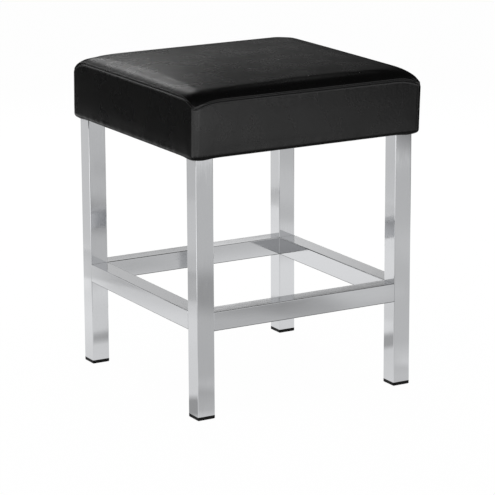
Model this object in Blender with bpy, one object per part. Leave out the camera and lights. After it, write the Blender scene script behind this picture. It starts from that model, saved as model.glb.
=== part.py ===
"""Square bathroom stool: a boxed leatherette seat bolted to a welded frame of square tube.

Metres, +Z up. The floor is z = 0, the origin lies under the middle of the seat and the front faces -Y.
"""
import math

import bmesh
import bpy

MM = 0.001

# Clearance left between two pieces that touch
FIT_GAP = 0.3 * MM

# Frame: one size of square tube makes the legs and the stretchers
TUBE_SIDE = 25.4 * MM
TUBE_WALL = 1.5 * MM
TUBE_CORNER_RADIUS = 1.0 * MM
TUBE_BORE_RADIUS = 0.5 * MM  # inside corners
FRAME_WIDTH = 328.6 * MM  # over the outer faces of the legs, the same both ways
FRAME_HEIGHT = 348.0 * MM  # floor to the top of the legs and corner plates
STRETCHER_TOP = 143.8 * MM  # floor to the upper faces of the stretchers

# Foot caps: a flange as wide as the tube, with a plug that fits inside it
FOOT_FLANGE = 4.5 * MM
FOOT_CHAMFER = 0.7 * MM
FOOT_PLUG_LENGTH = 18.0 * MM
FOOT_PLUG_TAPER = 1.0 * MM

# Corner plates: gussets welded into the inner corner of each leg top, which carry the bolts
PLATE_THICKNESS = 3.0 * MM
PLATE_EDGE = 16.0 * MM  # middle of the outer bolt hole to the plate's free edge
PLATE_WELD = 11.0 * MM  # length of each edge welded to the leg
PLATE_CLIP = 30.0 * MM  # cut off the inner corner along each edge
PLATE_CORNER_RADIUS = 4.0 * MM

# Button-head seat bolts, placed from the inner faces of the leg
BOLT_NEAR = 6.0 * MM
BOLT_FAR = 29.0 * MM
BOLT_DIAMETER = 6.0 * MM
BOLT_HEAD_DIAMETER = 10.5 * MM
BOLT_HEAD_HEIGHT = 2.6 * MM
BOLT_HEAD_ROUND = 1.3 * MM
BOLT_SOCKET = 4.0 * MM  # across the flats
BOLT_SOCKET_DEPTH = 1.7 * MM
BOLT_END_SETBACK = 1.0 * MM  # bolt tip below the top of the board

# Tee nuts, let in flush with the top of the board
TEE_NUT_WALL = 0.9 * MM
TEE_NUT_BARREL_LENGTH = 9.0 * MM
TEE_NUT_FLANGE_WIDTH = 4.8 * MM  # past the barrel
TEE_NUT_FLANGE_THICKNESS = 1.5 * MM

# Seat: outer form of the cover
SEAT_OVERHANG = 9.3 * MM  # past the outer faces of the legs
SEAT_CORNER_RADIUS = 8.0 * MM
BAND_HEIGHT = 77.8 * MM  # underside to the seam, at the middle of a side
SIDE_DRAW = 0.7 * MM  # sides drawn in from the seam to the bottom edge
BOTTOM_ROLL_RADIUS = 5.0 * MM
SEAM_DIP = 10.0 * MM  # how far the corners are pulled down
SEAM_DIP_RUN = 43.0 * MM  # length of side over which they come down
CROWN_HEIGHT = 7.2 * MM  # rise of the rounded edge above the seam
CROWN_RUN = 36.0 * MM  # width of the rounded edge
CROWN_POWER = 3.5  # higher is fuller at the seam
CROWN_DOME = 3.0 * MM  # further rise to the middle of the seat
CROWN_CORNER_RADIUS = 28.0 * MM  # plan radius of the corners up on the crown
CROWN_CORNER_RUN = 44.0 * MM

# Seat: what is inside and under it
COVER_THICKNESS = 1.2 * MM
HEM_WIDTH = 30.0 * MM  # cover turned under, from its outer face
EDGE_FOAM = 8.0 * MM  # foam between the cover and the edge of the board
BOARD_THICKNESS = 15.0 * MM
BOARD_CORNER_RADIUS = 6.0 * MM
DUST_COVER_THICKNESS = 0.6 * MM
DUST_COVER_INSET = 14.0 * MM  # from the outer face of the seat
DUST_COVER_CORNER_RADIUS = 8.0 * MM

# Fineness of the round shapes
CORNER_STEPS = 4
ROUND_SIDES = 18
ROLL_STEPS = 3
SEAM_DIP_STATIONS = (0.0, 0.2, 0.5, 1.0)  # shares of the dip's run
CROWN_STATIONS = (0.08, 0.18, 0.32, 0.52, 0.75, 1.0)  # shares of the crown's run
DOME_STATIONS = (0.45, 0.9)  # shares of the way from the crown to the middle
CUT_OVERRUN = 4.0 * MM
SMOOTH_ANGLE = math.radians(35.0)

# Places worked out from the sizes above
half_frame = FRAME_WIDTH / 2
half_tube = TUBE_SIDE / 2
bore_half = half_tube - TUBE_WALL
half_seat = half_frame + SEAT_OVERHANG
dust_bottom = FRAME_HEIGHT + FIT_GAP
seat_bottom = dust_bottom + DUST_COVER_THICKNESS + FIT_GAP
lining_depth = COVER_THICKNESS + FIT_GAP  # face of the cover to the face of the foam
board_bottom = seat_bottom + lining_depth
board_top = board_bottom + BOARD_THICKNESS
half_board = half_seat - SIDE_DRAW - lining_depth - EDGE_FOAM - FIT_GAP
bottom_roll = min(BOTTOM_ROLL_RADIUS, lining_depth + EDGE_FOAM)
hole_radius = BOLT_DIAMETER / 2 + FIT_GAP
barrel_radius = hole_radius + TEE_NUT_WALL
flange_radius = barrel_radius + TEE_NUT_FLANGE_WIDTH

# Corners and sides in order round the stool, each a quarter turn from the last
CORNERS = ("front_left", "front_right", "rear_right", "rear_left")
SIDES = ("front", "right", "rear", "left")


def clear_scene():
    for old in list(bpy.data.objects):
        bpy.data.objects.remove(old, do_unlink=True)


def material(name, colour, roughness, metallic=0.0):
    made = bpy.data.materials.new(name)
    made.use_nodes = True
    made.diffuse_color = (*colour, 1.0)
    shader = made.node_tree.nodes["Principled BSDF"]
    shader.inputs["Base Color"].default_value = (*colour, 1.0)
    shader.inputs["Roughness"].default_value = roughness
    shader.inputs["Metallic"].default_value = metallic
    return made


def group(name):
    made = bpy.data.objects.new(name, None)
    bpy.context.collection.objects.link(made)
    return made


def quarter(turns, x, y):
    """Plan point turned about the stool's middle by a number of right angles."""
    for _ in range(turns):
        x, y = -y, x
    return x, y


def rounded_outline(corners, radii):
    """Plan outline through outer and inner corners, each rounded by its radius."""
    outline = []
    for i, (x, y) in enumerate(corners):
        before, after = corners[i - 1], corners[(i + 1) % len(corners)]
        into = math.atan2(y - before[1], x - before[0])
        out = math.atan2(after[1] - y, after[0] - x)
        bend = (out - into + math.pi) % math.tau - math.pi
        radius = math.copysign(radii[i], bend)
        setback = radius * math.tan(bend / 2)
        centre_x = x - setback * math.cos(into) - radius * math.sin(into)
        centre_y = y - setback * math.sin(into) + radius * math.cos(into)
        for step in range(CORNER_STEPS + 1):
            angle = into - math.pi / 2 + bend * step / CORNER_STEPS
            outline.append((centre_x + radius * math.cos(angle), centre_y + radius * math.sin(angle)))
    return outline


def square_outline(half, radius):
    corners = [(-half, -half), (half, -half), (half, half), (-half, half)]
    return rounded_outline(corners, [radius] * len(corners))


def round_outline(radius):
    angles = [math.tau * i / ROUND_SIDES for i in range(ROUND_SIDES)]
    return [(radius * math.cos(a), radius * math.sin(a)) for a in angles]


def hex_outline(across_flats):
    """Hexagon with as many points as a round outline, so that the two can be joined."""
    outline = []
    for i in range(ROUND_SIDES):
        angle = math.tau * i / ROUND_SIDES
        to_flat = (angle % (math.pi / 3)) - math.pi / 6
        reach = across_flats / 2 / math.cos(to_flat)
        outline.append((reach * math.cos(angle), reach * math.sin(angle)))
    return outline


def level(outline, z):
    return [(x, y, z) for x, y in outline]


def fold_quad(bm, quad):
    """Two triangles that meet on the quad's higher diagonal, so that stacked skins fold alike."""
    if quad[0].co.z + quad[2].co.z < quad[1].co.z + quad[3].co.z:
        quad = quad[1:] + quad[:1]
    bm.faces.new((quad[0], quad[1], quad[2]))
    bm.faces.new((quad[0], quad[2], quad[3]))


def loft_mesh(bm, rings, wrap):
    loops = [[bm.verts.new(point) for point in ring] for ring in rings]
    pairs = list(zip(loops, loops[1:]))
    if wrap:
        pairs.append((loops[-1], loops[0]))
    else:
        bm.faces.new(loops[0])
        bm.faces.new(loops[-1])
    for first, second in pairs:
        for i in range(len(first)):
            fold_quad(bm, (first[i - 1], first[i], second[i], second[i - 1]))


def finish_object(name, bm, parent, finish):
    bmesh.ops.recalc_face_normals(bm, faces=bm.faces)
    mesh = bpy.data.meshes.new(name)
    bm.to_mesh(mesh)
    bm.free()
    mesh.shade_smooth()
    mesh.set_sharp_from_angle(angle=SMOOTH_ANGLE)
    if finish:
        mesh.materials.append(finish)
    made = bpy.data.objects.new(name, mesh)
    bpy.context.collection.objects.link(made)
    made.parent = parent
    return made


def loft(name, rings, parent, finish, wrap=False):
    """Solid whose skin runs through the rings in order, capped at both ends or closed on itself."""
    bm = bmesh.new()
    loft_mesh(bm, rings, wrap)
    return finish_object(name, bm, parent, finish)


def cutter(name, solids, parent):
    """Hidden tool made of one or more solids, each a list of rings."""
    bm = bmesh.new()
    for rings in solids:
        loft_mesh(bm, rings, wrap=False)
    made = finish_object(name, bm, parent, None)
    made.hide_render = True
    made.display_type = "WIRE"
    return made


def cut(target, tool):
    modifier = target.modifiers.new(tool.name, "BOOLEAN")
    modifier.operation = "DIFFERENCE"
    modifier.solver = "EXACT"
    modifier.object = tool


def leg_centre(turns):
    return quarter(turns, half_tube - half_frame, half_tube - half_frame)


def bolt_places():
    """Name and plan position of every seat bolt."""
    near, far = (TUBE_SIDE + step - half_frame for step in (BOLT_NEAR, BOLT_FAR))
    places = []
    for turns, corner in enumerate(CORNERS):
        for number, (x, y) in enumerate(((near, far), (far, near)), start=1):
            places.append((f"{corner}_{number}", quarter(turns, x, y)))
    return places


def moved(outline, x, y):
    return [(px + x, py + y) for px, py in outline]


# Frame


def make_legs(parent, finish):
    low = FOOT_FLANGE + FIT_GAP
    length = FRAME_HEIGHT - low
    outside = square_outline(half_tube, TUBE_CORNER_RADIUS)
    inside = square_outline(bore_half, TUBE_BORE_RADIUS)
    rings = [level(outside, 0), level(outside, length), level(inside, length), level(inside, 0)]
    for turns, corner in enumerate(CORNERS):
        leg = loft(f"leg_{corner}", rings, parent, finish, wrap=True)
        leg.location = (*leg_centre(turns), low)


def make_stretchers(parent, finish):
    """Tubes between the legs, their ends coped round the legs' outer rounded edges."""
    inner = TUBE_SIDE + FIT_GAP - half_frame
    outer = -half_frame - FIT_GAP
    radius = TUBE_CORNER_RADIUS + FIT_GAP
    square = [(outer, outer), (inner, outer), (inner, inner), (outer, inner)]
    grown = rounded_outline(square, [radius, radius, FIT_GAP, radius])
    low = STRETCHER_TOP - TUBE_SIDE - CUT_OVERRUN
    high = STRETCHER_TOP + CUT_OVERRUN
    tools = []
    for turns, corner in enumerate(CORNERS):
        here = [quarter(turns, x, y) for x, y in grown]
        tools.append(cutter(f"coping_cutter_{corner}", [[level(here, low), level(here, high)]], parent))
    reach = half_frame - TUBE_SIDE + TUBE_CORNER_RADIUS
    outside = square_outline(half_tube, TUBE_CORNER_RADIUS)
    inside = square_outline(bore_half, TUBE_BORE_RADIUS)
    sections = ((outside, -reach), (outside, reach), (inside, reach), (inside, -reach))
    rings = [[(x, u, v) for u, v in outline] for outline, x in sections]
    for turns, side in enumerate(SIDES):
        stretcher = loft(f"stretcher_{side}", rings, parent, finish, wrap=True)
        x, y = quarter(turns, 0, half_tube - half_frame)
        stretcher.location = (x, y, STRETCHER_TOP - half_tube)
        stretcher.rotation_euler.z = turns * math.pi / 2
        cut(stretcher, tools[turns])
        cut(stretcher, tools[(turns + 1) % len(tools)])


def make_foot_caps(parent, finish):
    sole = square_outline(half_tube - FOOT_CHAMFER, TUBE_CORNER_RADIUS)
    flange = square_outline(half_tube, TUBE_CORNER_RADIUS)
    plug = square_outline(bore_half - FIT_GAP, TUBE_BORE_RADIUS)
    tip = square_outline(bore_half - FIT_GAP - FOOT_PLUG_TAPER, TUBE_BORE_RADIUS)
    plug_top = FOOT_FLANGE + FOOT_PLUG_LENGTH
    rings = [
        level(sole, 0),
        level(flange, FOOT_CHAMFER),
        level(flange, FOOT_FLANGE),
        level(plug, FOOT_FLANGE),
        level(plug, plug_top - FOOT_PLUG_TAPER),
        level(tip, plug_top),
    ]
    for turns, corner in enumerate(CORNERS):
        cap = loft(f"foot_cap_{corner}", rings, parent, finish)
        cap.location = (*leg_centre(turns), 0)


def make_corner_plates(parent, finish, bolt_holes):
    """Gussets notched round the legs, drawn from the outer corner of a leg."""
    notch = TUBE_SIDE + FIT_GAP
    setback = TUBE_SIDE - PLATE_WELD
    reach = TUBE_SIDE + BOLT_FAR + PLATE_EDGE
    clipped = reach - PLATE_CLIP
    free = [(reach, setback), (reach, clipped), (clipped, reach), (setback, reach)]
    corners = [(notch, notch), (notch, setback), *free, (setback, notch)]
    radii = [TUBE_CORNER_RADIUS + FIT_GAP, FIT_GAP, *[PLATE_CORNER_RADIUS] * len(free), FIT_GAP]
    outline = rounded_outline(corners, radii)
    rings = [level(outline, -PLATE_THICKNESS), level(outline, 0)]
    for turns, corner in enumerate(CORNERS):
        plate = loft(f"corner_plate_{corner}", rings, parent, finish)
        plate.location = (*quarter(turns, -half_frame, -half_frame), FRAME_HEIGHT)
        plate.rotation_euler.z = turns * math.pi / 2
        cut(plate, bolt_holes)


# Fixings


def make_bolts(parent, finish):
    """Bolts with their heads under the plates, lofted from the socket's floor round to the tip."""
    head_top = FRAME_HEIGHT - PLATE_THICKNESS - FIT_GAP
    head_bottom = head_top - BOLT_HEAD_HEIGHT
    socket = hex_outline(BOLT_SOCKET)
    rings = [
        level(socket, head_bottom + BOLT_SOCKET_DEPTH),
        level(socket, head_bottom),
        level(round_outline(BOLT_HEAD_DIAMETER / 2 - BOLT_HEAD_ROUND), head_bottom),
        level(round_outline(BOLT_HEAD_DIAMETER / 2), head_bottom + BOLT_HEAD_ROUND),
        level(round_outline(BOLT_HEAD_DIAMETER / 2), head_top),
        level(round_outline(BOLT_DIAMETER / 2), head_top),
        level(round_outline(BOLT_DIAMETER / 2), board_top - BOLT_END_SETBACK),
    ]
    for name, (x, y) in bolt_places():
        bolt = loft(f"seat_bolt_{name}", rings, parent, finish)
        bolt.location = (x, y, 0)


def make_tee_nuts(parent, finish):
    flange_bottom = board_top - TEE_NUT_FLANGE_THICKNESS
    barrel_bottom = flange_bottom - TEE_NUT_BARREL_LENGTH
    bore = round_outline(hole_radius)
    barrel = round_outline(barrel_radius)
    flange = round_outline(flange_radius)
    rings = [
        level(bore, barrel_bottom),
        level(barrel, barrel_bottom),
        level(barrel, flange_bottom),
        level(flange, flange_bottom),
        level(flange, board_top),
        level(bore, board_top),
    ]
    for name, (x, y) in bolt_places():
        nut = loft(f"tee_nut_{name}", rings, parent, finish, wrap=True)
        nut.location = (x, y, 0)


def bolt_hole_cutter(parent):
    """Clearance holes through everything between the bolt heads and the board."""
    low = FRAME_HEIGHT - PLATE_THICKNESS - CUT_OVERRUN
    hole = round_outline(hole_radius)
    solids = []
    for _, place in bolt_places():
        here = moved(hole, *place)
        solids.append([level(here, low), level(here, board_bottom)])
    return cutter("bolt_hole_cutter", solids, parent)


def tee_nut_hole_cutter(parent):
    """Stepped holes for the barrels and the let-in flanges of the tee nuts."""
    barrel = round_outline(barrel_radius + FIT_GAP)
    flange = round_outline(flange_radius + FIT_GAP)
    low = board_bottom - CUT_OVERRUN
    seat = board_top - TEE_NUT_FLANGE_THICKNESS - FIT_GAP
    high = board_top + CUT_OVERRUN
    solids = []
    for _, place in bolt_places():
        narrow = moved(barrel, *place)
        wide = moved(flange, *place)
        solids.append([level(narrow, low), level(narrow, seat), level(wide, seat), level(wide, high)])
    return cutter("tee_nut_hole_cutter", solids, parent)


# Seat


def make_seat_board(parent, finish):
    outline = square_outline(half_board, BOARD_CORNER_RADIUS)
    board = loft("seat_board", [level(outline, board_bottom), level(outline, board_top)], parent, finish)
    cut(board, tee_nut_hole_cutter(parent))


def make_dust_cover(parent, finish, bolt_holes):
    outline = square_outline(half_seat - DUST_COVER_INSET, DUST_COVER_CORNER_RADIUS)
    heights = (dust_bottom, dust_bottom + DUST_COVER_THICKNESS)
    sheet = loft("dust_cover", [level(outline, z) for z in heights], parent, finish)
    cut(sheet, bolt_holes)


def side_stations():
    """Stations along the front of the seat, from one corner seam to the next.

    Each is a share of the straight stretch and an angle round the corner from it.
    """
    straight = half_seat - SEAT_CORNER_RADIUS
    right = [(1 - share * SEAM_DIP_RUN / straight, 0.0) for share in reversed(SEAM_DIP_STATIONS)]
    half_corner = CORNER_STEPS // 2
    right += [(1.0, math.pi / 4 * step / half_corner) for step in range(1, half_corner + 1)]
    left = [(-share, -angle) for share, angle in reversed(right)]
    return left + [(0.0, 0.0)] + right


def side_point(station, inset, radius):
    """Plan point on the front of the seat's outline, set in and with its own corner radius."""
    share, angle = station
    straight = half_seat - inset - radius
    return share * straight + radius * math.sin(angle), -straight - radius * math.cos(angle)


def seam_drop(x, y):
    """How far the nearest corner pulls the cover down at a plan point."""
    from_corner = half_seat - min(abs(x), abs(y))
    return SEAM_DIP * max(0.0, 1 - from_corner / SEAM_DIP_RUN) ** 2


def crown_radius(inset):
    growth = min(1.0, inset / CROWN_CORNER_RUN)
    return min(SEAT_CORNER_RADIUS + (CROWN_CORNER_RADIUS - SEAT_CORNER_RADIUS) * growth, half_seat - inset)


def crown_rise(inset):
    edge = max(0.0, 1 - inset / CROWN_RUN)
    return CROWN_HEIGHT * (1 - edge**CROWN_POWER) + CROWN_DOME * (1 - (1 - inset / half_seat) ** 2)


def drop_share(inset):
    return max(0.0, 1 - inset / CROWN_RUN) ** 2


def side_radius(inset):
    return max(SEAT_CORNER_RADIUS - inset, COVER_THICKNESS)


def side_profile(depth, top):
    """Rows of the seat's side, from its top edge down to the flat underside.

    Each row is its inset, its height over the underside and its share of the seam's drop. The depth is
    measured in from the outer face of the cover.
    """
    centre = SIDE_DRAW + bottom_roll
    roll = bottom_roll - depth
    rows = [(depth, top, 1.0)]
    for step in range(ROLL_STEPS + 1):
        angle = math.pi / 2 * step / ROLL_STEPS
        rows.append((centre - roll * math.cos(angle), bottom_roll - roll * math.sin(angle), 0.0))
    return rows


def crown_insets():
    insets = [share * CROWN_RUN for share in CROWN_STATIONS]
    return insets + [CROWN_RUN + share * (half_seat - CROWN_RUN) for share in DOME_STATIONS]


def seat_ring(inset, height, share, radius):
    """Closed ring round the whole seat, at a height over its underside."""
    ring = []
    for turns in range(len(SIDES)):
        for station in side_stations()[:-1]:
            x, y = quarter(turns, *side_point(station, inset, radius))
            ring.append((x, y, height - share * seam_drop(x, y)))
    return ring


def crown_ring(inset, depth):
    height = BAND_HEIGHT + FIT_GAP / 2 + crown_rise(inset) - depth
    return seat_ring(inset, height, drop_share(inset), crown_radius(inset))


def make_foam_pad(parent, finish):
    """Crowned block with a pocket underneath for the board."""
    half_pocket = half_board + FIT_GAP
    pocket_inset = half_seat - half_pocket
    pocket_radius = BOARD_CORNER_RADIUS + FIT_GAP
    ceiling = board_top + FIT_GAP - seat_bottom
    rings = [
        seat_ring(pocket_inset, ceiling, 0.0, pocket_radius),
        seat_ring(pocket_inset, lining_depth, 0.0, pocket_radius),
    ]
    shelf = BAND_HEIGHT - FIT_GAP / 2
    for inset, height, share in reversed(side_profile(lining_depth, shelf - lining_depth)):
        rings.append(seat_ring(inset, height, share, side_radius(inset)))
    rings.append(seat_ring(lining_depth, shelf, 1.0, crown_radius(lining_depth)))
    rings += [crown_ring(inset, lining_depth) for inset in crown_insets()]
    foam = loft("foam_pad", rings, parent, finish)
    foam.location.z = seat_bottom


def make_top_panel(parent, finish):
    """Sewn top of the cover, a thin crowned sheet whose edge lies on the bands."""
    edge = BAND_HEIGHT + FIT_GAP / 2
    insets = crown_insets()
    rings = [crown_ring(inset, COVER_THICKNESS) for inset in reversed(insets)]
    rings.append(seat_ring(lining_depth, edge, 1.0, crown_radius(lining_depth)))
    rings.append(seat_ring(0.0, edge, 1.0, SEAT_CORNER_RADIUS))
    rings += [crown_ring(inset, 0.0) for inset in insets]
    panel = loft("cover_top_panel", rings, parent, finish)
    panel.location.z = seat_bottom


def make_bands(parent, finish, bolt_holes):
    """Sides of the cover, rolled under the seat and hemmed, mitred where they meet."""
    hem_end = [(HEM_WIDTH, 0.0, 0.0), (HEM_WIDTH, COVER_THICKNESS, 0.0)]
    top = BAND_HEIGHT - FIT_GAP / 2
    section = side_profile(0.0, top) + hem_end + list(reversed(side_profile(COVER_THICKNESS, top)))
    stations = side_stations()
    rings = []
    for station in stations:
        end = (station == stations[-1]) - (station == stations[0])
        slide = -end * FIT_GAP / 2
        ring = []
        for inset, height, share in section:
            x, y = side_point(station, inset, side_radius(inset))
            ring.append((x + slide, y, height - share * seam_drop(x, y)))
        rings.append(ring)
    for turns, side in enumerate(SIDES):
        band = loft(f"cover_band_{side}", rings, parent, finish)
        band.location.z = seat_bottom
        band.rotation_euler.z = turns * math.pi / 2
        cut(band, bolt_holes)


def main():
    clear_scene()
    polished_steel = material("polished_steel", (0.62, 0.62, 0.63), 0.12, 1.0)
    zinc_steel = material("zinc_plated_steel", (0.46, 0.47, 0.49), 0.35, 1.0)
    black_plastic = material("black_plastic", (0.012, 0.012, 0.013), 0.5)
    plywood = material("plywood", (0.50, 0.34, 0.19), 0.65)
    foam = material("seat_foam", (0.75, 0.70, 0.55), 0.95)
    leatherette = material("black_leatherette", (0.012, 0.012, 0.012), 0.38)
    dust_cloth = material("black_dust_cloth", (0.018, 0.018, 0.018), 0.95)

    stool = group("stool")
    frame = group("frame")
    frame.parent = stool
    seat = group("seat")
    seat.parent = stool

    bolt_holes = bolt_hole_cutter(stool)
    make_legs(frame, polished_steel)
    make_stretchers(frame, polished_steel)
    make_corner_plates(frame, polished_steel, bolt_holes)
    make_foot_caps(frame, black_plastic)
    make_bolts(stool, zinc_steel)
    make_tee_nuts(seat, zinc_steel)
    make_seat_board(seat, plywood)
    make_dust_cover(seat, dust_cloth, bolt_holes)
    make_foam_pad(seat, foam)
    make_top_panel(seat, leatherette)
    make_bands(seat, leatherette, bolt_holes)


main()
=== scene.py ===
"""Bathroom stool: upholstery, finishes and studio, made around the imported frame.

Laid out as an add-on and run as a script. Metres, +Z up, the stool's front towards -Y.
"""
import math

import bmesh
import bpy
import numpy as np
from bpy.props import FloatProperty, FloatVectorProperty, IntProperty, PointerProperty
from mathutils import Matrix, Vector


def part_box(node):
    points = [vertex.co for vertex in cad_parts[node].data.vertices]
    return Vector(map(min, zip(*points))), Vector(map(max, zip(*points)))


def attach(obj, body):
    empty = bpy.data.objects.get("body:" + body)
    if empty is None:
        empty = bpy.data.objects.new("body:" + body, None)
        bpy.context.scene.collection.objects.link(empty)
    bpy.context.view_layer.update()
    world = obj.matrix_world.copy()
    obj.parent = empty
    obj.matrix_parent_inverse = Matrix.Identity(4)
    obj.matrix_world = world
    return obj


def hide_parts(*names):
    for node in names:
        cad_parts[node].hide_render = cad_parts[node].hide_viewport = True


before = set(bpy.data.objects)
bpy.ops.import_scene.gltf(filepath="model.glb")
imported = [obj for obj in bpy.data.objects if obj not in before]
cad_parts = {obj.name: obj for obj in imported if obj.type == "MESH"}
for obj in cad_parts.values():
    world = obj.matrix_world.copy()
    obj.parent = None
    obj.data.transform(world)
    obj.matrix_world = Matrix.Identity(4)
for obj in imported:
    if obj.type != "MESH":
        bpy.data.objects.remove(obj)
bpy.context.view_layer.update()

bl_info = {
    "name": "Bathroom stool",
    "version": (1, 0, 0),
    "blender": (4, 5, 0),
    "location": "3D View > Sidebar > Stool",
    "description": "Leatherette seat, chromed frame and studio of a square bathroom stool",
    "category": "Add Mesh",
}

MM = 0.001

CORNERS = ("front_left", "front_right", "rear_right", "rear_left")
SIDES = ("front", "right", "rear", "left")

# The seat as the frame gives it
band_low, band_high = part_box("cover_band_front")
board_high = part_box("seat_board")[1]
dust_low, dust_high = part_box("dust_cover")
HALF_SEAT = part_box("cover_band_right")[1].x
SEAT_BOTTOM = band_low.z
SEAM_HEIGHT = band_high.z - band_low.z
BOARD_GAP = 0.3 * MM


def linear(hex_colour):
    """Linear RGB of an sRGB hex value."""
    channels = [int(hex_colour[i:i + 2], 16) / 255 for i in (0, 2, 4)]
    return tuple(c / 12.92 if c <= 0.04045 else ((c + 0.055) / 1.055) ** 2.4 for c in channels)


# Settings

def length(name, description, millimetres):
    """A length property, written in millimetres."""
    return FloatProperty(name=name, description=description, default=millimetres * MM, min=0,
                         precision=5, unit="LENGTH")


def share(name, description, value, high=1):
    """A plain number from 0 to a highest value."""
    return FloatProperty(name=name, description=description, default=value, min=0, max=high, subtype="FACTOR")


def angle(name, description, degrees):
    """An angle property, written in degrees."""
    return FloatProperty(name=name, description=description, default=math.radians(degrees), subtype="ANGLE")


def colour(name, description, hex_colour):
    """A colour property, written as sRGB hex."""
    return FloatVectorProperty(name=name, description=description, default=linear(hex_colour), size=3,
                               min=0, max=1, subtype="COLOR")


class StoolCover(bpy.types.PropertyGroup):
    """Sizes of the boxed seat cover and of its seams."""
    corner_radius: length("Corner radius", "Plan radius of the band at the corner seams", 8)
    side_draw: length("Side draw", "How far the band draws in towards the bottom", 0.7)
    bottom_roll: length("Bottom roll", "Radius on which the band turns under the board", 5)
    hem_width: length("Hem", "Reach of the turned-under hem from the seat's side", 30)
    thickness: length("Cover thickness", "Thickness of the leatherette", 1.2)
    left_high: length("High left seam", "How much higher the top seam runs on the left", 2.6)
    front_low: length("Low front seam", "How much lower the top seam runs at the front", 0.8)
    crown_height: length("Crown height", "Rise of the top panel from its seam", 7.2)
    crown_run: length("Crown run", "Width of the edge over which the panel rises", 36)
    crown_dome: length("Dome", "Further rise of the panel towards its middle", 3)
    crown_corner_radius: length("Crown corner radius", "Largest plan radius of the crown's corners", 34)
    crown_corner_run: length("Crown corner run", "Inset at which that radius is reached", 44)
    patch_inset: length("Panel patch inset", "Inset at which the panel's plain middle starts", 62)
    patch_radius: length("Panel patch radius", "Corner radius of that middle", 8)
    lean: length("Lean", "How far the seat's top leans to the right, as the cover was sewn", 1.9)
    rear_short: length("Short rear side", "How far the rear side stands in", 1.8)
    right_high: length("High right side", "How far the foam lifts the panel on the right", 1.1)
    rear_low: length("Low rear side", "How far the panel lies lower at the rear", 1)
    thin_corner: length("Thin corner", "How much thinner the foam is at the rear left corner", 1.3)
    slack: length("Slack", "How much smaller the cover starts before the foam fills it", 0.12)
    swell_limit: length("Swell limit", "Furthest that the foam pushes any point of the cover", 0.4)
    groove_depth: length("Seam depth", "Depth of the groove at the front and rear of the top seam", 0.5)
    side_groove_depth: length("Side seam depth", "Depth of that groove on the other two sides", 0.9)
    groove_half_width: length("Seam half width", "Half width of that groove", 0.8)
    corner_round: length("Corner rounding", "How far the panel's edge is rounded off at the corners", 1)
    lip_height: length("Lip", "How far the panel's turned edge stands out over the groove", 0.3)
    corner_depth: length("Corner seam depth", "Depth of the groove at a corner seam", 0.35)
    corner_ridge: length("Corner ridge", "How far the cover's folded corner stands out", 0.3)
    allowance: length("Seam allowance", "Distance of the topstitching from the panel's edge", 4.9)
    stitch_dent: length("Stitch dent", "Depth of the line that the stitching pulls in", 0.3)
    pucker: length("Pucker", "Height of the puckers that sewing leaves", 0.1)
    corner_fold: length("Corner fold", "How far the folded hem bulges at the bottom corners", 1.5)


class StoolStitching(bpy.types.PropertyGroup):
    """Sizes of the topstitching."""
    pitch: length("Pitch", "Distance from stitch to stitch", 3.6)
    stitch: length("Stitch", "Length of thread that shows in one stitch", 2.9)
    thread: length("Thread", "Diameter of the sewing thread", 0.7)
    rise: length("Rise", "How far a stitch arches", 0.5)
    sway: share("Sway", "How far stitches lean to either side, in radians", 0.07)
    seed: IntProperty(name="Seed", description="Seed of the stitches' sway", default=4)


class StoolDustCover(bpy.types.PropertyGroup):
    """Sizes of the cloth under the seat."""
    corner_radius: length("Corner radius", "Plan radius of the cloth's corners", 8)
    sag: length("Sag", "How far the cloth hangs at its middle", 1.6)
    sag_reach: length("Sag reach", "Radius of the part that hangs free, inside the corner plates", 130)
    ripple: length("Ripple", "Height of its ripples", 0.25)
    bolt_radius: length("Bolt radius", "Radius of the seat bolts", 3)
    bolt_room: length("Bolt room", "Gap round the bolts", 0.3)


class StoolStaples(bpy.types.PropertyGroup):
    """Sizes of the staples that hold that cloth."""
    count: IntProperty(name="Count", description="Staples on each side", default=6, min=2)
    reach: length("Reach", "Distance of the outermost staples from a side's middle", 85)
    inset: length("Inset", "Distance of the staples from the cloth's edge", 6)
    crown: length("Crown", "Length of wire that shows", 10)
    leg: length("Leg", "Length of wire driven into the board", 2)
    wire: length("Wire", "Radius of the wire", 0.5)


class StoolWelds(bpy.types.PropertyGroup):
    """Sizes of the dressed welds round the stretchers' ends."""
    bead: length("Bead", "Radius of the bead", 0.5)
    inset: length("Inset", "Depth of the bead's middle under the tube's faces", 0.35)
    tube_corner: length("Tube corner", "Outer radius of the tube's corners", 1)


class StoolFinish(bpy.types.PropertyGroup):
    """Colours of the surfaces."""
    chrome: colour("Chrome", "Reflected colour of the chromed tube", "C7C8CA")
    zinc: colour("Zinc", "Reflected colour of the plated fixings", "B4B6B8")
    plastic: colour("Foot caps", "Colour of the moulded caps", "080808")
    leatherette: colour("Leatherette", "Colour of the cover", "060606")
    thread: colour("Thread", "Colour of the topstitching", "1C1C1D")
    dust_cloth: colour("Dust cloth", "Colour of the cloth under the seat", "1A1A1B")
    ply_pale: colour("Pale ply", "Colour of the pale plies", "CDB48C")
    ply_dark: colour("Dark ply", "Colour of the end-grain plies", "A4855C")
    paper: colour("Paper", "Colour of the white floor", "F2F2F2")


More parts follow.
